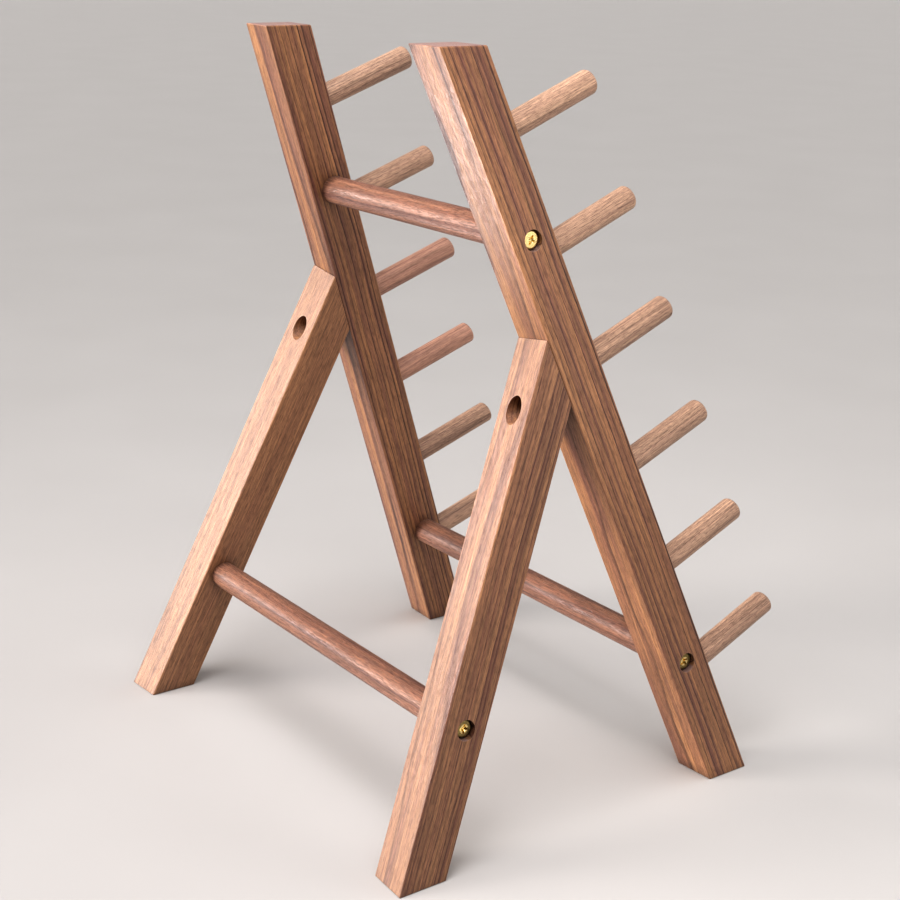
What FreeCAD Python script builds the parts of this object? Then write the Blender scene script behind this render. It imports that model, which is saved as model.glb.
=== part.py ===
"""Free-standing wooden peg stand: two A-shaped side frames joined by three round crossbars.

Each side frame is a long post that leans back and a shorter leg that is mitred against the
post's back face. The two frames also tilt inward, so the stand is wider at the floor than at
the top. Six round pegs stand out of each post's front face, square to it, and pan-head wood
screws in counterbores hold the crossbars and the legs.

Row frame: +X to the right, -Y to the front where the pegs point, +Z up. The origin is on the
floor, under the middle of the stand's bounding box.

Wood pieces of a side frame are laid out flat, as on a bench, in that frame's own plane:
local X runs across the thickness with the outer face at 0, local Y backwards, local Z up along
the frame. One placement per side then tilts them inward and spreads them to the foot span.
"""
import FreeCAD, Part
import os
import Sketcher
from FreeCAD import Vector

# Driving dimensions: name, value in millimetres, degrees or a count, and meaning.
SIZES = (
    ("overall_height", 400, "floor to the top of the posts"),
    ("foot_span", 292, "between the outer faces of the two frames, at the floor"),
    ("frame_tilt", 8, "degrees that each side frame tilts inward"),
    ("post_lean", 21, "degrees that a post leans back in its frame"),
    ("leg_lean", 23, "degrees that a leg leans forward in its frame"),
    ("leg_top", 261, "height along the frame where the leg's back face meets the post"),
    ("stock_width", 24, "posts and legs across the stand"),
    ("stock_depth", 26, "posts and legs from front to back"),
    ("edge_break", 0.5, "small chamfer on every edge of the stock"),
    ("peg_dia", 13.2, "round pegs"),
    ("peg_reach", 60.5, "peg in front of the post"),
    ("peg_seat", 18, "peg inside the post"),
    ("peg_round", 2, "rounding of the peg's tip"),
    ("peg_first", 53, "along the post's back edge, from its top to the first peg"),
    ("peg_pitch", 63.5, "along the post, from peg to peg"),
    ("peg_count", 6, "pegs on each post"),
    ("bar_dia", 15.6, "round crossbars"),
    ("bar_seat", 6, "crossbar inside its blind socket"),
    ("top_bar_height", 307.5, "axis of the crossbar high on the posts"),
    ("front_bar_height", 71.5, "axis of the crossbar low on the posts"),
    ("rear_bar_height", 73.5, "axis of the crossbar low on the legs"),
    ("wood_gap", 0.05, "glue gap round a peg or a crossbar, on the radius"),
    ("head_dia", 10, "pan head of a wood screw"),
    ("head_rise", 2.6, "height of the pan head"),
    ("head_round", 1.2, "rounding of the pan head's rim"),
    ("cross_span", 5, "cross recess, tip to tip"),
    ("cross_width", 1.2, "width of one arm of the cross recess"),
    ("cross_depth", 1.5, "depth of the cross recess"),
    ("cone_dia", 3.2, "conical middle of the cross recess, at the head's top"),
    ("cone_depth", 2, "depth of the conical middle"),
    ("shank_dia", 5, "screw shank and thread crest"),
    ("root_dia", 3.4, "bottom of the thread"),
    ("thread_pitch", 2.2, "from crest to crest"),
    ("thread_turns", 10, "crests on one screw"),
    ("point_length", 5, "tapered point of a screw"),
    ("bar_screw_length", 38, "under the head, into a crossbar's end"),
    ("joint_screw_length", 32, "under the head, through leg and post into the third peg"),
    ("screw_gap", 0.1, "clearance round a screw, on the radius"),
    ("bore_dia", 10.8, "counterbores on the outer faces"),
    ("high_recess", 2, "depth of the screw heads high on the posts"),
    ("low_recess", 2.2, "depth of the screw heads low on the posts and legs"),
    ("joint_bore_dia", 11, "slanted counterbore in the leg's back face"),
    ("joint_cover", 9, "wood of the leg left under the joint screw's head"),
    ("end_break", 0.5, "chamfer on the hidden ends of pegs and crossbars"),
    ("pilot_spare", 1, "pilot hole beyond the screw's point"),
)
JOINT_PEG = 2  # the leg's screw goes into the end of this peg, counted from 0 at the top
SIDES = {"left": -1, "right": 1}
DRIVER_TURNS = {"top": 25, "front": 60, "rear": 10}  # degrees at which each screw came to rest
TOUCHING = 1e-6  # mm within which two places are the same
LEAST_CUT = 0.01  # mm3 that a cut has to take away

doc = FreeCAD.newDocument("PegStand")
sheet = doc.addObject("Spreadsheet::Sheet", "Sizes")
for row, (alias, size, meaning) in enumerate(SIZES, start=1):
    sheet.set(f"A{row}", alias)
    sheet.set(f"B{row}", str(size))
    sheet.set(f"C{row}", meaning)
    sheet.setAlias(f"B{row}", alias)
doc.recompute()


# Expressions over the sheet, as text that each feature is bound to.
def cell(alias):
    return f"Sizes.{alias}"


TILT = cell("frame_tilt")
LEAN = cell("post_lean")
LEG_LEAN = cell("leg_lean")
WIDTH = cell("stock_width")
DEPTH = cell("stock_depth")
HEIGHT = cell("overall_height")
POST_LENGTH = f"({HEIGHT} / cos({TILT}) / cos({LEAN}))"
# Oversize of every blank and cutter, so that a cut runs clear of the wood.
OVERCUT = cell("stock_depth")
# Front-most point: the rounded tip of the lowest peg. Back-most point: the leg's foot.
LOWEST_PEG = f"({POST_LENGTH} - {cell('peg_first')} - ({cell('peg_count')} - 1) * {cell('peg_pitch')})"
FRONT_MOST = (
    f"({LOWEST_PEG} * sin({LEAN}) - ({DEPTH} + {cell('peg_reach')} - {cell('peg_round')}) * cos({LEAN})"
    f" - ({cell('peg_dia')} / 2 - {cell('peg_round')}) * sin({LEAN}) - {cell('peg_round')})"
)
BACK_MOST = (
    f"({cell('leg_top')} * (tan({LEAN}) + tan({LEG_LEAN})) - {cell('edge_break')} * sin({LEG_LEAN}))"
)
MIDDLE = f"(({FRONT_MOST} + {BACK_MOST}) / 2)"


def number(expression):
    """Value that an expression over the sheet gives."""
    return float(sheet.evalExpression(expression))


def placement(x, y, z, axis="0; 0; 1", angle="0"):
    """Expression for a placement: a point, and a turn in degrees about an axis."""
    return f"placement(vector({x}; {y}; {z}); rotation(vector({axis}); {angle}))"


def side_frame(side):
    """Placement of a side frame's flat layout in the finished stand."""
    return placement(f"{side} * {cell('foot_span')} / 2", f"-{MIDDLE}", "0", "0; 1; 0", f"-{side} * {TILT}")


def post_back(height):
    """Y of the post's back face at a height in the frame's plane."""
    return f"({height} * tan({LEAN}))"


def leg_back(height):
    """Y of the leg's back face at a height in the frame's plane."""
    return f"({cell('leg_top')} * tan({LEAN}) + ({cell('leg_top')} - {height}) * tan({LEG_LEAN}))"


def peg_station(index):
    """Distance up the post's back face from the floor to a peg's axis."""
    return f"({POST_LENGTH} - {cell('peg_first')} - {index} * {cell('peg_pitch')})"


# Steps of making a piece.
def new_body(label):
    body = doc.addObject("PartDesign::Body", label)
    body.Label = label
    return body


def new_sketch(body, name, role, offset=None):
    """Sketch on one of the body's own origin planes, moved by an offset expression."""
    plane = next(item for item in body.Origin.OriginFeatures if item.Role == role)
    sketch = body.newObject("Sketcher::SketchObject", f"{body.Name}_{name}")
    sketch.AttachmentSupport = [(plane, "")]
    sketch.MapMode = "FlatFace"
    if offset:
        sketch.setExpression("AttachmentOffset", offset)
    return sketch


def pin_down(sketch, kind, expression, *where):
    """Dimension bound to the sheet; a zero distance puts the point on the sketch's axis."""
    size = number(expression)
    if kind in ("DistanceX", "DistanceY") and abs(size) < TOUCHING:
        axis = -2 if kind == "DistanceX" else -1
        sketch.addConstraint(Sketcher.Constraint("PointOnObject", *where[-2:], axis))
        return
    index = sketch.addConstraint(Sketcher.Constraint(kind, *where, size))
    sketch.setExpression(f"Constraints[{index}]", expression)


def draw_outline(sketch, corners):
    """Closed outline through corners given as pairs of expressions."""
    points = [Vector(number(x), number(y), 0) for x, y in corners]
    lines = [
        sketch.addGeometry(Part.LineSegment(start, end), False)
        for start, end in zip(points, points[1:] + points[:1])
    ]
    for line, following in zip(lines, lines[1:] + lines[:1]):
        sketch.addConstraint(Sketcher.Constraint("Coincident", line, 2, following, 1))
    for line, (x, y) in zip(lines, corners):
        pin_down(sketch, "DistanceX", x, -1, 1, line, 1)
        pin_down(sketch, "DistanceY", y, -1, 1, line, 1)


def draw_circle(sketch, x, y, radius):
    centre = Vector(number(x), number(y), 0)
    circle = sketch.addGeometry(Part.Circle(centre, Vector(0, 0, 1), number(radius)), False)
    pin_down(sketch, "DistanceX", x, -1, 1, circle, 3)
    pin_down(sketch, "DistanceY", y, -1, 1, circle, 3)
    pin_down(sketch, "Radius", radius, circle)


def add_feature(body, kind, name, sketch, **settings):
    feature = body.newObject(f"PartDesign::{kind}", f"{body.Name}_{name}")
    feature.Profile = sketch
    for key, setting in settings.items():
        setattr(feature, key, setting)
    return feature


def pad(body, name, sketch, length, **settings):
    feature = add_feature(body, "Pad", name, sketch, **settings)
    feature.setExpression("Length", length)
    doc.recompute()
    return feature


def check_removal(body, feature, before):
    """Stop if a cut took nothing away."""
    doc.recompute()
    if not feature.Shape.Volume < before - LEAST_CUT:
        raise RuntimeError(f"{feature.Name} removes nothing from {body.Label}")
    return feature


def pocket(body, name, sketch, length=None, **settings):
    """Pocket of a given length, or right through without one."""
    before = body.Shape.Volume
    feature = add_feature(body, "Pocket", name, sketch, **settings)
    if length:
        feature.setExpression("Length", length)
    else:
        feature.Type = "ThroughAll"
    return check_removal(body, feature, before)


def groove(body, name, sketch, axis):
    """Full turned cut about one of the sketch's axes."""
    before = body.Shape.Volume
    feature = add_feature(body, "Groove", name, sketch, ReferenceAxis=(sketch, [axis]), Angle=360)
    return check_removal(body, feature, before)


def row_of_cuts(body, name, feature, sketch, pitch, count):
    """Copies of a cut, one pitch apart, against the direction of its sketch's Y axis."""
    before = body.Shape.Volume
    row = body.newObject("PartDesign::LinearPattern", f"{body.Name}_{name}")
    row.Originals = [feature]
    row.Direction = (sketch, ["V_Axis"])
    row.Reversed = True
    row.Mode = "Spacing"
    row.setExpression("Offset", pitch)
    row.setExpression("Occurrences", count)
    body.Tip = row
    return check_removal(body, row, before)


def round_edges(body, kind, name, edges, size):
    """Fillet or chamfer on named edges of the body's last feature, or on all of them."""
    base = body.Tip
    feature = body.newObject(f"PartDesign::{kind}", f"{body.Name}_{name}")
    feature.Base = (base, edges or ["Edge1"])
    feature.UseAllEdges = not edges
    feature.setExpression("Radius" if kind == "Fillet" else "Size", size)
    doc.recompute()
    return feature


def rim_at(body, axis, at):
    """Names of the circular edges whose centre is at a place along a local axis."""
    return [
        f"Edge{index}"
        for index, edge in enumerate(body.Tip.Shape.Edges, start=1)
        if edge.isClosed() and abs(edge.CenterOfMass[axis] - at) < TOUCHING
    ]


# Cuts that posts and legs share. The level sketches have the floor's own axes: their X is
# the stand's X measured from the foot of the frame's outer face, and their Y is height.
def level_offset(side, height="0", depth_line="0"):
    return placement(
        f"{side} * {height} * sin({TILT})",
        f"{height} * cos({TILT})",
        f"-1 * {depth_line}",
        angle=f"-{side} * {TILT}",
    )


def cut_level(body, name, low, high):
    """Remove everything between two heights above the floor."""
    side = SIDES[body.Label.split("_")[0]]
    sketch = new_sketch(body, name, "XZ_Plane", level_offset(side))
    reach = cell("foot_span")
    draw_outline(sketch, [(f"-{reach}", low), (reach, low), (reach, high), (f"-{reach}", high)])
    pocket(body, f"{name}_cut", sketch, Midplane=True)


def outer_face(height):
    """Distance of a frame's outer face from the middle of the stand, at a height."""
    return f"({cell('foot_span')} / 2 - {height} * tan({TILT}))"


def inner_face(height):
    """Distance of a frame's inner face from the middle of the stand, at a height."""
    return f"({outer_face(height)} - {WIDTH} / cos({TILT}))"


def bar_line(height, face, lean):
    """Y of a crossbar's axis: the middle of the stock that it meets, at mid thickness."""
    along = f"({height} / cos({TILT}) + {WIDTH} / 2 * tan({TILT}))"
    return f"({face(along)} - {DEPTH} / 2 / cos({lean}))"


# Crossbars: height of the axis, Y of the axis in the side frame, depth of the screw heads.
BARS = {
    bar: (cell(height), bar_line(cell(height), face, lean), cell(recess))
    for bar, height, face, lean, recess in (
        ("top", "top_bar_height", post_back, LEAN, "high_recess"),
        ("front", "front_bar_height", post_back, LEAN, "low_recess"),
        ("rear", "rear_bar_height", leg_back, LEG_LEAN, "low_recess"),
    )
}


def bore_for_bar(body, bar):
    """One stepped, level bore: counterbore, screw hole and the crossbar's blind socket."""
    side = SIDES[body.Label.split("_")[0]]
    height, depth_line, recess = BARS[bar]
    sketch = new_sketch(body, f"{bar}_bore", "XZ_Plane", level_offset(side, height, depth_line))
    outer = f"({side} * ({outer_face(height)} - {cell('foot_span')} / 2))"
    inner = f"({side} * ({inner_face(height)} - {cell('foot_span')} / 2))"
    seat = f"{outer} - {side} * ({recess} + {cell('head_rise')})"
    socket = f"{inner} + {side} * {cell('bar_seat')}"
    beyond_outer = f"{outer} + {side} * {OVERCUT}"
    beyond_inner = f"{inner} - {side} * {OVERCUT}"
    bore = f"{cell('bore_dia')} / 2"
    screw_hole = f"{cell('shank_dia')} / 2 + {cell('screw_gap')}"
    bar_hole = f"{cell('bar_dia')} / 2 + {cell('wood_gap')}"
    draw_outline(
        sketch,
        [
            (beyond_outer, "0"),
            (beyond_outer, bore),
            (seat, bore),
            (seat, screw_hole),
            (socket, screw_hole),
            (socket, bar_hole),
            (beyond_inner, bar_hole),
            (beyond_inner, "0"),
        ],
    )
    groove(body, f"{bar}_bored", sketch, "H_Axis")


# Pieces.
def make_post(name, side):
    """Square post with slanted, level-cut ends, six blind peg bores and two crossbar bores."""
    body = new_body(f"{name}_post")
    outline = new_sketch(body, "outline", "YZ_Plane")
    low = f"-{OVERCUT}"
    high = f"({HEIGHT} / cos({TILT}) + {OVERCUT})"
    front = f"{DEPTH} / cos({LEAN})"
    draw_outline(
        outline,
        [
            (post_back(low), low),
            (post_back(high), high),
            (f"{post_back(high)} - {front}", high),
            (f"{post_back(low)} - {front}", low),
        ],
    )
    pad(body, "blank", outline, WIDTH, Reversed=side > 0)
    cut_level(body, "foot", f"-3 * {OVERCUT}", "0")
    cut_level(body, "head", HEIGHT, f"{HEIGHT} + 3 * {OVERCUT}")
    round_edges(body, "Chamfer", "edges", None, cell("edge_break"))

    # Sketches on the front face: X across the post, Y up it from the floor.
    on_front = placement(
        "0", f"{DEPTH} * sin({LEAN})", f"{DEPTH} * cos({LEAN})", "1; 0; 0", f"-{LEAN}"
    )
    across = f"-{side} * {WIDTH} / 2"
    first_bore = new_sketch(body, "first_bore", "XZ_Plane", on_front)
    draw_circle(first_bore, across, peg_station(0), f"{cell('peg_dia')} / 2 + {cell('wood_gap')}")
    bored = pocket(body, "first_bored", first_bore, cell("peg_seat"))
    row_of_cuts(body, "peg_row", bored, first_bore, cell("peg_pitch"), cell("peg_count"))
    joint_hole = new_sketch(body, "joint_hole", "XZ_Plane", on_front)
    draw_circle(
        joint_hole, across, peg_station(JOINT_PEG), f"{cell('shank_dia')} / 2 + {cell('screw_gap')}"
    )
    pocket(body, "joint_drilled", joint_hole)
    bore_for_bar(body, "top")
    bore_for_bar(body, "front")
    body.setExpression("Placement", side_frame(side))
    return body


def joint_offset(side):
    """Sketch plane at the middle of the stock, its X along the leg's screw, out of the leg."""
    station = peg_station(JOINT_PEG)
    return placement(
        f"{station} * sin({LEAN})",
        f"{station} * cos({LEAN})",
        f"-{side} * {WIDTH} / 2",
        angle=f"-{LEAN}",
    )


def make_leg(name, side):
    """Square leg, mitred to lie on the post's back face and cut level at the foot."""
    body = new_body(f"{name}_leg")
    outline = new_sketch(body, "outline", "YZ_Plane")
    low = f"-{OVERCUT}"
    thickness = f"{DEPTH} / cos({LEG_LEAN})"
    mitre_end = f"({cell('leg_top')} - {thickness} / (tan({LEAN}) + tan({LEG_LEAN})))"
    draw_outline(
        outline,
        [
            (leg_back(low), low),
            (post_back(cell("leg_top")), cell("leg_top")),
            (post_back(mitre_end), mitre_end),
            (f"{leg_back(low)} - {thickness}", low),
        ],
    )
    pad(body, "blank", outline, WIDTH, Reversed=side > 0)
    cut_level(body, "foot", f"-3 * {OVERCUT}", "0")
    round_edges(body, "Chamfer", "edges", None, cell("edge_break"))

    joint = new_sketch(body, "joint_bore", "YZ_Plane", joint_offset(side))
    bore = f"{cell('joint_bore_dia')} / 2"
    screw_hole = f"{cell('shank_dia')} / 2 + {cell('screw_gap')}"
    draw_outline(
        joint,
        [
            (f"-{OVERCUT}", "0"),
            (f"2 * {OVERCUT}", "0"),
            (f"2 * {OVERCUT}", bore),
            (cell("joint_cover"), bore),
            (cell("joint_cover"), screw_hole),
            (f"-{OVERCUT}", screw_hole),
        ],
    )
    groove(body, "joint_bored", joint, "H_Axis")
    bore_for_bar(body, "rear")
    body.setExpression("Placement", side_frame(side))
    return body


def make_peg(name, side, index):
    """Round peg with a rounded tip; the third one has a pilot hole for the leg's screw."""
    body = new_body(f"{name}_peg_{index + 1}")
    length = f"({cell('peg_seat')} + {cell('peg_reach')})"
    disc = new_sketch(body, "disc", "XY_Plane")
    draw_circle(disc, "0", "0", f"{cell('peg_dia')} / 2")
    pad(body, "dowel", disc, length)
    round_edges(body, "Fillet", "tip", rim_at(body, 2, number(length)), cell("peg_round"))
    round_edges(body, "Chamfer", "seat", rim_at(body, 2, 0), cell("end_break"))
    if index == JOINT_PEG:
        pilot = new_sketch(body, "pilot", "XY_Plane")
        draw_circle(pilot, "0", "0", f"{cell('shank_dia')} / 2 + {cell('screw_gap')}")
        outside = f"({cell('joint_cover')} + {DEPTH} - {cell('peg_seat')})"
        bite = f"{cell('joint_screw_length')} - {outside} + {cell('pilot_spare')}"
        pocket(body, "piloted", pilot, bite, Reversed=True)
    station = peg_station(index)
    seat = f"({DEPTH} - {cell('peg_seat')})"
    in_frame = placement(
        f"-{side} * {WIDTH} / 2",
        f"{station} * sin({LEAN}) - {seat} * cos({LEAN})",
        f"{station} * cos({LEAN}) + {seat} * sin({LEAN})",
        "1; 0; 0",
        f"90 - {LEAN}",
    )
    body.setExpression("Placement", f"{side_frame(side)} * {in_frame}")
    return body


def make_crossbar(bar):
    """Level round bar with square ends that sit in sockets and take a screw each."""
    body = new_body(f"{bar}_crossbar")
    height, depth_line, recess = BARS[bar]
    half = f"({inner_face(height)} + {cell('bar_seat')})"
    disc = new_sketch(body, "disc", "YZ_Plane")
    draw_circle(disc, "0", "0", f"{cell('bar_dia')} / 2")
    pad(body, "dowel", disc, f"2 * {half}", Midplane=True)
    ends = rim_at(body, 0, number(half)) + rim_at(body, 0, -number(half))
    round_edges(body, "Chamfer", "ends", ends, cell("end_break"))
    outside = f"({outer_face(height)} - {recess} - {cell('head_rise')} - {half})"
    bite = f"{cell('bar_screw_length')} - {outside} + {cell('pilot_spare')}"
    for end, side in SIDES.items():
        pilot = new_sketch(body, f"{end}_pilot", "YZ_Plane", placement("0", "0", f"{side} * {half}"))
        draw_circle(pilot, "0", "0", f"{cell('shank_dia')} / 2 + {cell('screw_gap')}")
        pocket(body, f"{end}_piloted", pilot, bite, Reversed=side < 0)
    body.setExpression("Placement", placement("0", f"{depth_line} - {MIDDLE}", height))
    return body


def make_screw(label, length, place):
    """Pan-head wood screw: local Z out of the head, seat of the head at 0."""
    body = new_body(label)
    rise = cell("head_rise")
    head = f"{cell('head_dia')} / 2"
    shank = f"{cell('shank_dia')} / 2"
    profile = new_sketch(body, "profile", "XZ_Plane")
    draw_outline(
        profile,
        [
            ("0", rise),
            (head, rise),
            (head, "0"),
            (shank, "0"),
            (shank, f"{cell('point_length')} - {length}"),
            ("0", f"-{length}"),
        ],
    )
    turned = add_feature(
        body, "Revolution", "turned", profile, ReferenceAxis=(profile, ["V_Axis"]), Angle=360
    )
    doc.recompute()
    if turned.Shape.isNull():
        raise RuntimeError(f"{label} has no turned blank")
    round_edges(body, "Fillet", "head", rim_at(body, 2, number(rise)), cell("head_round"))

    on_head = placement("0", "0", rise)
    cross = new_sketch(body, "cross", "XY_Plane", on_head)
    tip = f"{cell('cross_span')} / 2"
    arm = f"{cell('cross_width')} / 2"
    quarter = [(tip, f"-{arm}"), (tip, arm), (arm, arm)]
    corners = list(quarter)
    for _ in range(3):
        quarter = [(f"-1 * ({y})", x) for x, y in quarter]
        corners += quarter
    draw_outline(cross, corners)
    pocket(body, "recess", cross, cell("cross_depth"))
    cone = new_sketch(body, "cone", "XZ_Plane")
    draw_outline(
        cone,
        [("0", rise), (f"{cell('cone_dia')} / 2", rise), ("0", f"{rise} - {cell('cone_depth')}")],
    )
    groove(body, "cone_cut", cone, "V_Axis")

    notch = new_sketch(body, "notch", "XZ_Plane")
    thread_top = f"({cell('point_length')} - {length} + {cell('thread_turns')} * {cell('thread_pitch')})"
    outside = f"{shank} + {cell('screw_gap')}"
    draw_outline(
        notch,
        [
            (outside, thread_top),
            (f"{cell('root_dia')} / 2", f"{thread_top} - {cell('thread_pitch')} / 2"),
            (outside, f"{thread_top} - {cell('thread_pitch')}"),
        ],
    )
    first = groove(body, "notched", notch, "V_Axis")
    row_of_cuts(body, "thread", first, notch, cell("thread_pitch"), cell("thread_turns"))
    body.setExpression("Placement", place)
    return body


def make_bar_screws(name, side):
    """Level screws from the outer face into the ends of the three crossbars."""
    for bar, (height, depth_line, recess) in BARS.items():
        seat = f"({outer_face(height)} - {recess} - {cell('head_rise')})"
        place = placement(
            f"{side} * {seat}", f"{depth_line} - {MIDDLE}", height, "0; 1; 0", f"{side} * 90"
        )
        turned = placement("0", "0", "0", angle=f"{side * DRIVER_TURNS[bar]}")
        make_screw(f"{name}_{bar}_screw", cell("bar_screw_length"), f"{place} * {turned}")


def make_joint_screw(name, side):
    """Slanted screw through the leg and the post into the end of the third peg."""
    station = peg_station(JOINT_PEG)
    in_frame = placement(
        f"-{side} * {WIDTH} / 2",
        f"{station} * sin({LEAN}) + {cell('joint_cover')} * cos({LEAN})",
        f"{station} * cos({LEAN}) - {cell('joint_cover')} * sin({LEAN})",
        "1; 0; 0",
        f"-90 - {LEAN}",
    )
    make_screw(f"{name}_leg_screw", cell("joint_screw_length"), f"{side_frame(side)} * {in_frame}")


def build():
    for name, side in SIDES.items():
        make_post(name, side)
        make_leg(name, side)
        for index in range(int(number(cell("peg_count")))):
            make_peg(name, side, index)
        make_bar_screws(name, side)
        make_joint_screw(name, side)
    for bar in BARS:
        make_crossbar(bar)
    doc.recompute()


def export():
    """Check every object of the document, then write one file for each piece."""
    for item in doc.Objects:
        if "Invalid" in item.State or "Error" in item.State:
            raise RuntimeError(f"{item.Name} failed: {item.State}")
    pieces = [item for item in doc.Objects if item.TypeId == "PartDesign::Body"]
    for piece in pieces:
        shape = piece.Shape
        if shape.isNull() or not shape.isValid() or len(shape.Solids) != 1:
            raise RuntimeError(f"{piece.Label} is not one sound solid")
    os.makedirs("parts", exist_ok=True)
    for piece in pieces:
        piece.Shape.exportStep(f"parts/{piece.Label}.step")
    box = pieces[0].Shape.BoundBox
    for piece in pieces:
        box.add(piece.Shape.BoundBox)
    print(f"{len(pieces)} pieces, box {box}")


build()
export()
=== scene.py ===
"""Looks, light and camera for the wooden peg stand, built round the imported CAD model."""

from math import radians

import bpy
from mathutils import Matrix, Quaternion, Vector


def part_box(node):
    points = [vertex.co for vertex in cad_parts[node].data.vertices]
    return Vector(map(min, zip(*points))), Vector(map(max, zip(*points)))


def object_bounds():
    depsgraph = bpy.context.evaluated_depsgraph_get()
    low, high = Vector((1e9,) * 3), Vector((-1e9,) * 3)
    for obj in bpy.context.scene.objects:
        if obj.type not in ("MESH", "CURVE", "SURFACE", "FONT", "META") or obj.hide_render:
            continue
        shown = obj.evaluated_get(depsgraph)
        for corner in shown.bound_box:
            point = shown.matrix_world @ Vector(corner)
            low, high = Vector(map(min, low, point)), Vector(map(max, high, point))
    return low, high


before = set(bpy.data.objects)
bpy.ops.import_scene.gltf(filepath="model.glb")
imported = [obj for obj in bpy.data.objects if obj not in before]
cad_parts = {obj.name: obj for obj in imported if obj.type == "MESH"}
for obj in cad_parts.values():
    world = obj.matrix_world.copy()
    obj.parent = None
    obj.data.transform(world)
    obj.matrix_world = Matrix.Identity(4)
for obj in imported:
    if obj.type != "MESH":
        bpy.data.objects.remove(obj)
cad_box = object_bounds()

# How the stand is put together, in degrees: the grain of each piece follows its length.
FRAME_TILT = 8
POST_LEAN = 21
LEG_LEAN = 23
SIDES = {"left": -1, "right": 1}
PEGS_PER_POST = 6
SCREW_HEAD_RADIUS = 5.0
MM = 0.001


# Directions. Each gives the piece's width, depth and length as the columns of a matrix.
def basis(width, length):
    depth = length.cross(width)
    return Matrix((width, depth, length)).transposed()


def frame_axes(side, lean, length):
    """Axes of a piece of one side frame, with its length as it is before the lean and the tilt."""
    tilt = Matrix.Rotation(radians(-side * FRAME_TILT), 3, "Y")
    turn = Matrix.Rotation(radians(-lean), 3, "X")
    return basis(tilt @ Vector((1, 0, 0)), tilt @ turn @ Vector(length))


def stock_axes(side, lean):
    """A post leans back by a positive angle and a leg leans forward by a negative one."""
    return frame_axes(side, lean, (0, 0, 1))


def peg_axes(side):
    return frame_axes(side, POST_LEAN, (0, -1, 0))


BAR_AXES = basis(Vector((0, 0, 1)), Vector((1, 0, 0)))


def middle(name):
    low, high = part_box(name)
    return (Vector(low) + Vector(high)) / 2


# Short names for making nodes.
class Graph:
    def __init__(self, tree):
        self.tree = tree

    def link(self, source, target):
        self.tree.links.new(source, target)

    def node(self, kind, inputs=None, **settings):
        node = self.tree.nodes.new("ShaderNode" + kind)
        for name, setting in settings.items():
            setattr(node, name, setting)
        for name, source in (inputs or {}).items():
            if isinstance(source, bpy.types.NodeSocket):
                self.link(source, node.inputs[name])
            else:
                node.inputs[name].default_value = source
        return node

    def math(self, operation, *terms, clamp=False):
        settings = {"operation": operation, "use_clamp": clamp}
        return self.node("Math", dict(enumerate(terms)), **settings).outputs[0]

    def vector(self, operation, *terms):
        return self.node("VectorMath", dict(enumerate(terms)), operation=operation).outputs[0]

    def measure(self, operation, *vectors):
        """Plain number from vectors, such as a length or a dot product."""
        node = self.node("VectorMath", dict(enumerate(vectors)), operation=operation)
        return node.outputs["Value"]

    def noise(self, place, stretch, detail=2.0, roughness=0.5, output="Fac"):
        """Noise with stretch waves to the unit of length, in each of the three directions."""
        inputs = {
            "Vector": self.vector("MULTIPLY", place, stretch),
            "Scale": 1.0,
            "Detail": detail,
            "Roughness": roughness,
        }
        return self.node("TexNoise", inputs).outputs[output]

    def line_noise(self, along, scale, detail=2.0):
        inputs = {"W": along, "Scale": scale, "Detail": detail}
        return self.node("TexNoise", inputs, noise_dimensions="1D").outputs["Fac"]

    def curve(self, factor, *stops):
        """Grey ramp through (place, height) stops."""
        ramp = self.node("ValToRGB", {"Fac": factor})
        points = ramp.color_ramp.elements
        while len(points) < len(stops):
            points.new(1.0)
        for point, (place, height) in zip(points, stops):
            point.position = place
            point.color = (height, height, height, 1)
        return ramp.outputs["Color"]

    def mix(self, factor, first, second, blend_type="MIX"):
        inputs = {0: factor, 6: first, 7: second}
        return self.node("Mix", inputs, data_type="RGBA", blend_type=blend_type).outputs[2]

    def shade(self, color, brightness):
        return self.mix(1.0, color, brightness, "MULTIPLY")

    def blend(self, factor, first, second):
        """Plain number between two others."""
        return self.node("Mix", {0: factor, 2: first, 3: second}).outputs[0]


def rgb(red, green, blue):
    return (red, green, blue, 1)


def new_group(name, inputs, outputs):
    tree = bpy.data.node_groups.new(name, "ShaderNodeTree")
    for way, sockets in (("INPUT", inputs), ("OUTPUT", outputs)):
        for socket, kind in sockets.items():
            tree.interface.new_socket(socket, in_out=way, socket_type="NodeSocket" + kind)
    graph = Graph(tree)
    start = tree.nodes.new("NodeGroupInput").outputs
    end = tree.nodes.new("NodeGroupOutput").inputs
    return graph, start, end


# Solid timber, in millimetres: pith on the Z axis, growth rings round it, grain along it.
# A slow and a quick wandering of the grain: waves to the millimetre, and how far it moves.
WANDERINGS = (((0.010, 0.010, 0.0045), 7), ((0.06, 0.06, 0.03), 0.8))
# How a ring darkens from its spring side to its autumn side: a thin line, and a soft flush.
LATE_LINE = ((0.0, 0.35), (0.04, 0.06), (0.12, 0.0), (0.79, 0.05), (0.92, 1.0), (1.0, 0.9))
LATE_FLUSH = ((0.0, 0.45), (0.14, 0.0), (0.42, 0.08), (0.8, 0.75), (1.0, 0.6))


def wandering(graph, place):
    moved = place
    for stretch, reach in WANDERINGS:
        drift = graph.noise(place, stretch, output="Color")
        drift = graph.vector("SUBTRACT", drift, (0.5,) * 3)
        moved = graph.vector("ADD", moved, graph.vector("MULTIPLY", drift, (reach, reach, 0)))
    return moved


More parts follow.
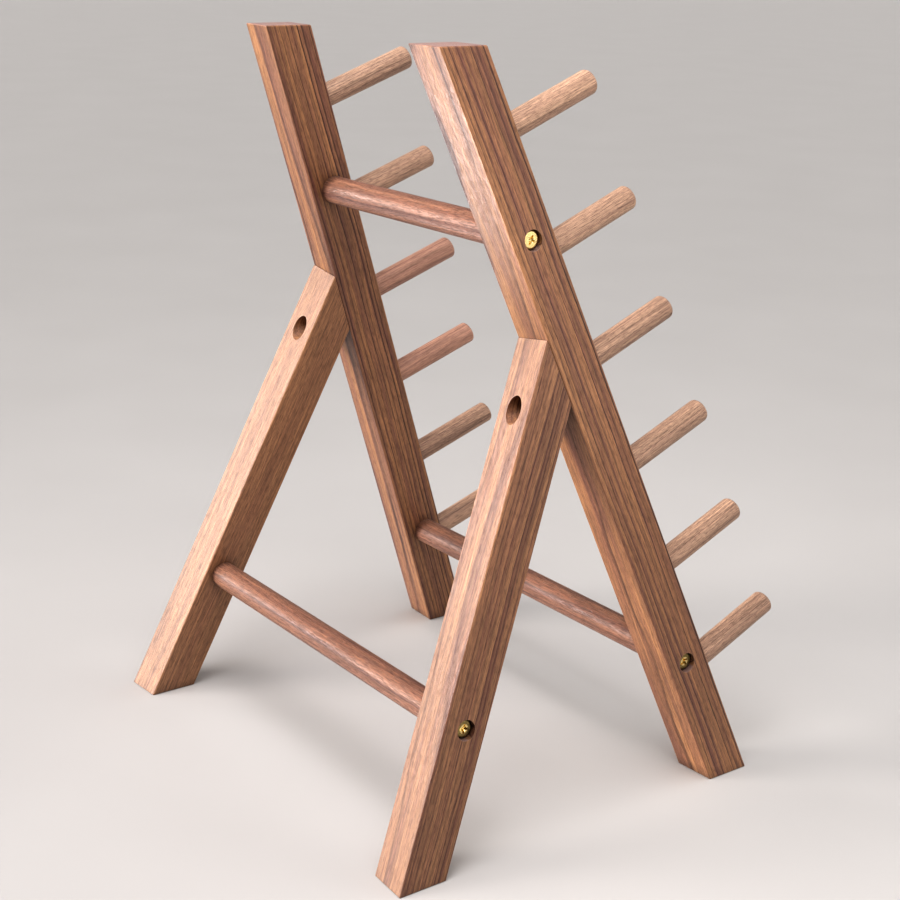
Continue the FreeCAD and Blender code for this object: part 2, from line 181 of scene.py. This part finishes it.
def growth_rings(graph, place, ring_width, strength):
    """Rings of uneven width, each with its own darkness, as a thin line and as a soft flush."""
    radius = graph.measure("LENGTH", graph.vector("MULTIPLY", place, (1, 1, 0)))
    years = graph.math("DIVIDE", radius, ring_width)
    years = graph.math("ADD", years, graph.math("MULTIPLY", graph.line_noise(years, 0.5), 1.2))
    ring = graph.math("FRACT", years)
    age = graph.math("FLOOR", years)
    luck = graph.node("TexWhiteNoise", {"W": age}, noise_dimensions="1D").outputs["Value"]
    vigour = graph.blend(luck, 0.45, 1.25)
    fading = graph.curve(graph.noise(place, (0.2, 0.2, 0.012)), (0.3, 0.6), (0.6, 1.0))
    late = graph.math("MULTIPLY", graph.curve(ring, *LATE_LINE), fading)
    late = graph.math("MULTIPLY", late, vigour)
    late = graph.math("MULTIPLY", late, strength, clamp=True)
    flush = graph.math("MULTIPLY", graph.curve(ring, *LATE_FLUSH), vigour)
    return late, flush


def pigment(graph, place, flush, strength):
    """Streaks of pigment several millimetres wide, joined to the rings' flush."""
    streak = graph.noise(place, (0.30, 0.30, 0.0045), 3.0, 0.62)
    streak = graph.curve(streak, (0.40, 0.0), (0.64, 1.0))
    streak = graph.math("ADD", streak, flush)
    return graph.math("MULTIPLY", streak, strength, clamp=True)


def vessels(graph, place, late, size, strength):
    """Pores that show as short dark dashes or, on a cut end, as dots."""
    shrink = graph.math("DIVIDE", 1.0, size)
    pored = graph.node("VectorMath", {0: place, "Scale": shrink}, operation="SCALE").outputs["Vector"]
    wide = graph.curve(graph.noise(pored, (2.6, 2.6, 0.20), 1.0), (0.53, 0.0), (0.60, 1.0))
    fine = graph.curve(graph.noise(place, (4.6, 4.6, 0.30), 1.0), (0.56, 0.0), (0.64, 0.8))
    pore = graph.math("MAXIMUM", wide, fine)
    pore = graph.math("MULTIPLY", pore, graph.blend(late, 0.6, 1.0))
    return graph.math("MULTIPLY", pore, strength, clamp=True)


def make_timber():
    inputs = {
        "Place": "Vector",
        "Ring width": "Float",
        "Line strength": "Float",
        "Streak strength": "Float",
        "Pore strength": "Float",
        "Pore size": "Float",
        "Light": "Color",
        "Line": "Color",
        "Streak": "Color",
    }
    outputs = {"Color": "Color", "Roughness": "Float", "Height": "Float"}
    graph, given, result = new_group("Timber", inputs, outputs)
    place = wandering(graph, given["Place"])
    late, flush = growth_rings(graph, place, given["Ring width"], given["Line strength"])
    streak = pigment(graph, place, flush, given["Streak strength"])
    pore = vessels(graph, place, late, given["Pore size"], given["Pore strength"])
    fibre = graph.noise(place, (1.6, 1.6, 0.05), 5.0, 0.75)
    stripe = graph.noise(place, (0.75, 0.75, 0.007), 3.0, 0.6)
    tone = graph.noise(place, (0.035, 0.035, 0.006))

    color = graph.mix(streak, given["Light"], given["Streak"])
    color = graph.mix(late, color, given["Line"])
    color = graph.shade(color, graph.curve(fibre, (0.27, 0.54), (0.73, 1.42)))
    color = graph.shade(color, graph.curve(stripe, (0.3, 0.76), (0.7, 1.22)))
    color = graph.shade(color, graph.curve(tone, (0.3, 0.86), (0.7, 1.12)))
    color = graph.mix(graph.math("MULTIPLY", pore, 0.8), color, given["Line"])
    graph.link(color, result["Color"])

    rough = graph.blend(fibre, 0.30, 0.48)
    rough = graph.math("ADD", rough, graph.math("MULTIPLY", pore, 0.25))
    rough = graph.math("ADD", rough, graph.math("MULTIPLY", late, 0.06))
    graph.link(rough, result["Roughness"])

    height = graph.math("SUBTRACT", graph.math("MULTIPLY", fibre, 0.35), pore)
    height = graph.math("SUBTRACT", height, graph.math("MULTIPLY", late, 0.2))
    graph.link(height, result["Height"])
    return graph.tree


def make_edge_mask():
    """1 where the surface turns a sharp corner within a short distance, 0 elsewhere."""
    graph, given, result = new_group("Edge mask", {"Radius": "Float"}, {"Mask": "Float"})
    soft = graph.node("Bevel", {"Radius": given["Radius"]}, samples=6).outputs[0]
    sharp = graph.node("NewGeometry").outputs["Normal"]
    turned = graph.math("SUBTRACT", 1.0, graph.measure("DOT_PRODUCT", soft, sharp))
    graph.link(graph.curve(turned, (0.01, 0.0), (0.16, 1.0)), result["Mask"])
    return graph.tree


TIMBER = make_timber()
EDGE_MASK = make_edge_mask()


def new_material(name):
    material = bpy.data.materials.new(name)
    material.use_nodes = True
    material.node_tree.nodes.clear()
    return material, Graph(material.node_tree)


def finish_material(graph, settings):
    shader = graph.node("BsdfPrincipled", settings)
    graph.node("OutputMaterial", {"Surface": shader.outputs["BSDF"]})


def local_place(graph, origin, axes):
    """Coordinates in millimetres along a piece's width, depth and length."""
    inputs = {
        "Vector": graph.node("TexCoord").outputs["Object"],
        "Location": origin,
        "Rotation": axes.to_euler(),
        "Scale": (MM,) * 3,
    }
    return graph.node("Mapping", inputs, vector_type="TEXTURE").outputs["Vector"]


def near_edges(graph, radius):
    edge = graph.node("Group", node_tree=EDGE_MASK)
    edge.inputs["Radius"].default_value = radius
    return edge.outputs["Mask"]


def cut_ends(graph, axes):
    """1 where the surface cuts across the grain."""
    normal = graph.node("TexCoord").outputs["Normal"]
    along = axes.transposed()[2]
    facing = graph.math("ABSOLUTE", graph.measure("DOT_PRODUCT", normal, along))
    return graph.curve(facing, (0.75, 0.0), (0.88, 1.0))


def painted_crevice_shade(graph):
    """Painted shade: darkening where two pieces meet and inside bores, within a few millimetres, from
    ambient occlusion.
    """
    open_sky = graph.node("AmbientOcclusion", {"Distance": 9 * MM}, samples=6).outputs["AO"]
    return graph.curve(open_sky, (0.0, 0.30), (0.45, 0.62), (0.85, 1.0))


def wood(name, origin, axes, log, looks):
    """Oiled wood; log is where the piece's middle was in the tree, in millimetres from the pith."""
    material, graph = new_material(name)
    place = graph.vector("ADD", local_place(graph, origin, axes), log)
    timber = graph.node("Group", node_tree=TIMBER)
    graph.link(place, timber.inputs["Place"])
    for socket, setting in looks["timber"].items():
        timber.inputs[socket].default_value = setting
    worn = graph.math("MULTIPLY", near_edges(graph, 0.8 * MM), graph.noise(place, (0.3, 0.3, 0.08), 3.0))
    cut = cut_ends(graph, axes)
    color = graph.mix(graph.math("MULTIPLY", cut, 0.65), timber.outputs["Color"], looks["cut"])
    color = graph.mix(graph.math("MULTIPLY", worn, 0.55), color, looks["worn"])
    # Painted shade: the colour is darkened in bores and at joints by ambient occlusion.
    color = graph.shade(color, painted_crevice_shade(graph))
    rough = graph.math("SUBTRACT", timber.outputs["Roughness"], graph.math("MULTIPLY", worn, 0.12))
    rough = graph.math("ADD", rough, graph.math("MULTIPLY", cut, 0.1))
    relief = {"Strength": looks["relief"], "Distance": 0.15 * MM, "Height": timber.outputs["Height"]}
    finish_material(graph, {
        "Base Color": color,
        "Roughness": rough,
        "Normal": graph.node("Bump", relief).outputs["Normal"],
        "IOR": 1.42,
        "Coat Weight": looks["coat"],
        "Coat Roughness": 0.36,
        "Sheen Weight": 0.03,
        "Sheen Roughness": 0.45,
    })
    return material


def variant(looks, timber, **others):
    """The same looks with some settings changed."""
    return {**looks, **others, "timber": {**looks["timber"], **timber}}


POST_LOOKS = {
    "timber": {
        "Ring width": 3.3,
        "Line strength": 1.1,
        "Streak strength": 0.7,
        "Pore strength": 0.8,
        "Pore size": 1.1,
        "Light": rgb(0.39, 0.186, 0.080),
        "Line": rgb(0.042, 0.013, 0.009),
        "Streak": rgb(0.185, 0.073, 0.048),
    },
    "worn": rgb(0.47, 0.27, 0.16),
    # The cut ends' lavender-grey mixes the end grain's colour with a painted sheen.
    "cut": rgb(0.30, 0.200, 0.190),
    "coat": 0.12,
    "relief": 0.55,
}
LEG_LOOKS = {
    "timber": {
        "Ring width": 3.0,
        "Line strength": 0.65,
        "Streak strength": 0.58,
        "Pore strength": 0.9,
        "Pore size": 1.1,
        "Light": rgb(0.372, 0.184, 0.088),
        "Line": rgb(0.045, 0.014, 0.009),
        "Streak": rgb(0.160, 0.060, 0.040),
    },
    "worn": rgb(0.47, 0.26, 0.14),
    # The cut ends' lavender-grey mixes the end grain's colour with a painted sheen.
    "cut": rgb(0.30, 0.200, 0.190),
    "coat": 0.10,
    "relief": 0.55,
}
PLAIN_LEG_LOOKS = variant(LEG_LOOKS, {"Line strength": 0.25, "Streak strength": 0.35})
BAR_LOOKS = {
    "timber": {
        "Ring width": 5.5,
        "Line strength": 0.25,
        "Streak strength": 0.65,
        "Pore strength": 1.0,
        "Pore size": 1.2,
        "Light": rgb(0.31, 0.145, 0.085),
        "Line": rgb(0.035, 0.012, 0.009),
        "Streak": rgb(0.140, 0.055, 0.038),
    },
    "worn": rgb(0.46, 0.25, 0.16),
    "cut": rgb(0.30, 0.16, 0.12),
    "coat": 0.10,
    "relief": 1.0,
}
PEG_LOOKS = {
    "timber": {
        "Ring width": 2.2,
        "Line strength": 0.45,
        "Streak strength": 0.35,
        "Pore strength": 1.0,
        "Pore size": 0.8,
        "Light": rgb(0.50, 0.316, 0.212),
        "Line": rgb(0.080, 0.036, 0.026),
        "Streak": rgb(0.35, 0.200, 0.140),
    },
    "worn": rgb(0.74, 0.50, 0.36),
    "cut": rgb(0.58, 0.36, 0.25),
    "coat": 0.08,
    "relief": 0.7,
}
BROWN_PEG_LOOKS = variant(
    PEG_LOOKS,
    {
        "Streak strength": 0.6,
        "Pore strength": 0.7,
        "Light": rgb(0.47, 0.260, 0.180),
        "Line": rgb(0.110, 0.045, 0.032),
        "Streak": rgb(0.30, 0.150, 0.110),
    },
    worn=rgb(0.60, 0.38, 0.28),
    cut=rgb(0.42, 0.25, 0.18),
)
BROWN_PEGS = ("right_peg_3", "right_peg_4")

BRASS = rgb(0.86, 0.66, 0.29)
RUBBED_BRASS = rgb(0.98, 0.85, 0.52)
# Dark olive, used both for tarnish spots and for the painted shade round the screw heads.
SHADE_AND_TARNISH_OLIVE = rgb(0.115, 0.085, 0.030)


def brass(name, origin, axes, ring_shade_share):
    """Lacquered brass: turned rings, fine scratches, tarnish spots, and painted shade in a ring round
    the head's bright middle.
    """
    material, graph = new_material(name)
    place = local_place(graph, origin, axes)
    radius = graph.measure("LENGTH", graph.vector("MULTIPLY", place, (1, 1, 0)))
    turned = graph.line_noise(radius, 9.0, 3.0)
    patch = graph.noise(place, (0.8, 0.8, 0.8), 4.0, 0.6)
    scratch = graph.noise(place, (9.0, 0.8, 9.0))
    # Painted shade: outside the middle of the head the brass is darkened towards olive, as strongly as
    # the screw's share gives. Random tarnish spots are added on top.
    outer = graph.curve(graph.math("DIVIDE", radius, SCREW_HEAD_RADIUS), (0.42, 0.0), (0.54, 1.0))
    shade_and_tarnish = graph.math("MULTIPLY", graph.curve(patch, (0.25, 0.75), (0.6, 1.0)), ring_shade_share)
    shade_and_tarnish = graph.math("MULTIPLY", shade_and_tarnish, outer, clamp=True)
    spots = graph.curve(patch, (0.55, 0.0), (0.72, 0.35))
    shade_and_tarnish = graph.math("MAXIMUM", shade_and_tarnish, spots)
    rubbed = graph.math("MULTIPLY", near_edges(graph, 0.4 * MM), 0.4)
    rough = graph.math("ADD", graph.blend(turned, 0.18, 0.32), graph.math("MULTIPLY", shade_and_tarnish, 0.2))
    height = graph.math("ADD", graph.math("MULTIPLY", turned, 0.5), graph.math("MULTIPLY", scratch, 0.5))
    relief = {"Strength": 0.25, "Distance": 0.03 * MM, "Height": height}
    finish_material(graph, {
        "Base Color": graph.mix(rubbed, graph.mix(shade_and_tarnish, BRASS, SHADE_AND_TARNISH_OLIVE), RUBBED_BRASS),
        "Metallic": 1.0,
        "Roughness": rough,
        "Normal": graph.node("Bump", relief).outputs["Normal"],
    })
    return material


def dress(name, material):
    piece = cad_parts[name]
    piece.data.materials.clear()
    piece.data.materials.append(material)


def dress_wood(name, axes, log, looks):
    dress(name, wood(name, middle(name), axes, log, looks))


def dress_screw(name, axes, ring_shade_share):
    dress(name, brass(name, middle(name), axes, ring_shade_share))


# Each piece has its own log place, so that no two show the same grain: its width, depth and
# length from the pith, in millimetres.
def dress_side(name, side):
    log = (side * 14, 62, 300 + 900 * side)
    dress_wood(f"{name}_post", stock_axes(side, POST_LEAN), log, POST_LOOKS)
    log = (side * -16, 64, 2600 + 700 * side)
    looks = PLAIN_LEG_LOOKS if name == "right" else LEG_LOOKS
    dress_wood(f"{name}_leg", stock_axes(side, -LEG_LEAN), log, looks)
    for index in range(1, PEGS_PER_POST + 1):
        peg = f"{name}_peg_{index}"
        log = (30 + 9 * index, 25 - 7 * index * side, 5000 + 211 * index + 97 * side)
        dress_wood(peg, peg_axes(side), log, BROWN_PEG_LOOKS if peg in BROWN_PEGS else PEG_LOOKS)
    # Each screw's share sets how dark its painted shade ring is: little on the top screws near the
    # surface, much on the screws deep in their bores.
    for bar, ring_shade_share in (("top", 0.1), ("front", 0.9), ("rear", 0.85)):
        dress_screw(f"{name}_{bar}_screw", BAR_AXES, ring_shade_share)
    dress_screw(f"{name}_leg_screw", peg_axes(side), 0.6)


def dress_bars():
    for index, bar in enumerate(("top", "front", "rear")):
        log = (24 + 15 * index, -18 + 9 * index, 8000 + 430 * index)
        dress_wood(f"{bar}_crossbar", BAR_AXES, log, BAR_LOOKS)


# Everything round the stand, in metres, with its front toward -Y.
FLOOR_HALF_WIDTH = 100.0


def make_floor():
    """Pale seamless floor, wide enough to fill every view from above."""
    half = FLOOR_HALF_WIDTH
    mesh = bpy.data.meshes.new("floor")
    corners = [(-half, -half, 0), (half, -half, 0), (half, half, 0), (-half, half, 0)]
    mesh.from_pydata(corners, [], [(0, 1, 2, 3)])
    floor = bpy.data.objects.new("floor", mesh)
    bpy.context.collection.objects.link(floor)
    material, graph = new_material("floor")
    cloud = graph.noise(graph.node("TexCoord").outputs["Object"], (6, 6, 6), 4.0)
    finish_material(graph, {
        "Base Color": graph.mix(cloud, rgb(0.48, 0.465, 0.45), rgb(0.52, 0.505, 0.49)),
        "Roughness": graph.blend(cloud, 0.72, 0.85),
    })
    floor.data.materials.append(material)


# Name, direction toward the sun, strength, softness as the angle of the disc in degrees, colour.
SUNS = (
    ("key", (0.45, 0.88, 0.16), 5.0, 30, (1.0, 0.94, 0.91)),
    ("low", (0.89, 0.45, 0.03), 2.0, 22, (1.0, 0.95, 0.95)),
    ("overhead", (-0.20, 0.40, 1.0), 1.0, 40, (1.0, 0.985, 0.985)),
    ("front", (-0.30, -0.90, 0.60), 0.9, 50, (1.0, 0.985, 0.97)),
)
# Name, place from the stand's middle, side of the square, watts, colour.
LAMPS = (
    ("top", (-0.10, 0.25, 0.75), 0.5, 4, (1.0, 0.96, 0.98)),
    ("fill", (-0.40, 0.12, 0.38), 0.3, 0.8, (1.0, 0.94, 0.90)),
    ("side", (-0.85, -0.47, 0.12), 0.35, 0.9, (1.0, 0.97, 0.95)),
)
# A narrow lamp behind the stand whitens the top of the left post's rear face.
GLOW = ("glow", (0.33, 0.30, -0.13), 0.16, 0.09, (1.0, 0.95, 0.96))
GLOW_AIM = Vector((-0.115, 0.14, 0.37))
GLOW_SPREAD = 28
SKY_COLOR = rgb(0.92, 0.93, 0.96)
SKY_STRENGTH = 0.2


def add_sun(name, direction, strength, softness, color):
    data = bpy.data.lights.new(name, "SUN")
    data.energy = strength
    data.angle = radians(softness)
    data.color = color
    light = bpy.data.objects.new(name, data)
    light.rotation_mode = "QUATERNION"
    light.rotation_quaternion = Vector(direction).to_track_quat("Z", "Y")
    bpy.context.collection.objects.link(light)


def add_lamp(aim, name, place, width, power, color):
    data = bpy.data.lights.new(name, "AREA")
    data.shape = "SQUARE"
    data.size = width
    data.energy = power
    data.color = color
    light = bpy.data.objects.new(name, data)
    light.location = place
    light.rotation_mode = "QUATERNION"
    light.rotation_quaternion = (aim - place).to_track_quat("-Z", "Y")
    light.visible_camera = False
    bpy.context.collection.objects.link(light)
    return data


def light_scene():
    low, high = cad_box
    center = (low + high) / 2
    for sun in SUNS:
        add_sun(*sun)
    for name, offset, width, power, color in LAMPS:
        add_lamp(center, name, center + Vector(offset), width, power, color)
    name, offset, width, power, color = GLOW
    glow = add_lamp(GLOW_AIM, name, center + Vector(offset), width, power, color)
    glow.spread = radians(GLOW_SPREAD)
    world = bpy.data.worlds.new("studio")
    world.use_nodes = True
    sky = world.node_tree.nodes["Background"]
    sky.inputs["Color"].default_value = SKY_COLOR
    sky.inputs["Strength"].default_value = SKY_STRENGTH
    bpy.context.scene.world = world
    bpy.context.scene.view_settings.view_transform = "Standard"
    bpy.context.scene.view_settings.look = "Medium High Contrast"


CAMERA_TARGET = Vector((0.0110, -0.0056, 0.1634))
CAMERA_AZIMUTH = 233.45
CAMERA_ELEVATION = 17.73
CAMERA_ROLL = 1.2
CAMERA_DISTANCE = 0.9657
CAMERA_LENS = 66.83


def make_camera():
    camera = bpy.data.objects.new("camera", bpy.data.cameras.new("camera"))
    bpy.context.collection.objects.link(camera)
    camera.data.sensor_width = 36.0
    camera.data.lens = CAMERA_LENS
    camera.data.clip_start = 0.02
    camera.data.clip_end = 60.0
    turn = Matrix.Rotation(radians(CAMERA_AZIMUTH), 3, "Z")
    back = turn @ Matrix.Rotation(radians(-CAMERA_ELEVATION), 3, "X") @ Vector((0, -1, 0))
    camera.location = CAMERA_TARGET + back * CAMERA_DISTANCE
    camera.rotation_mode = "QUATERNION"
    roll = Quaternion((0, 0, 1), radians(CAMERA_ROLL))
    camera.rotation_quaternion = back.to_track_quat("Z", "Y") @ roll
    bpy.context.scene.camera = camera


for side_name, side_sign in SIDES.items():
    dress_side(side_name, side_sign)
dress_bars()
make_floor()
light_scene()
make_camera()
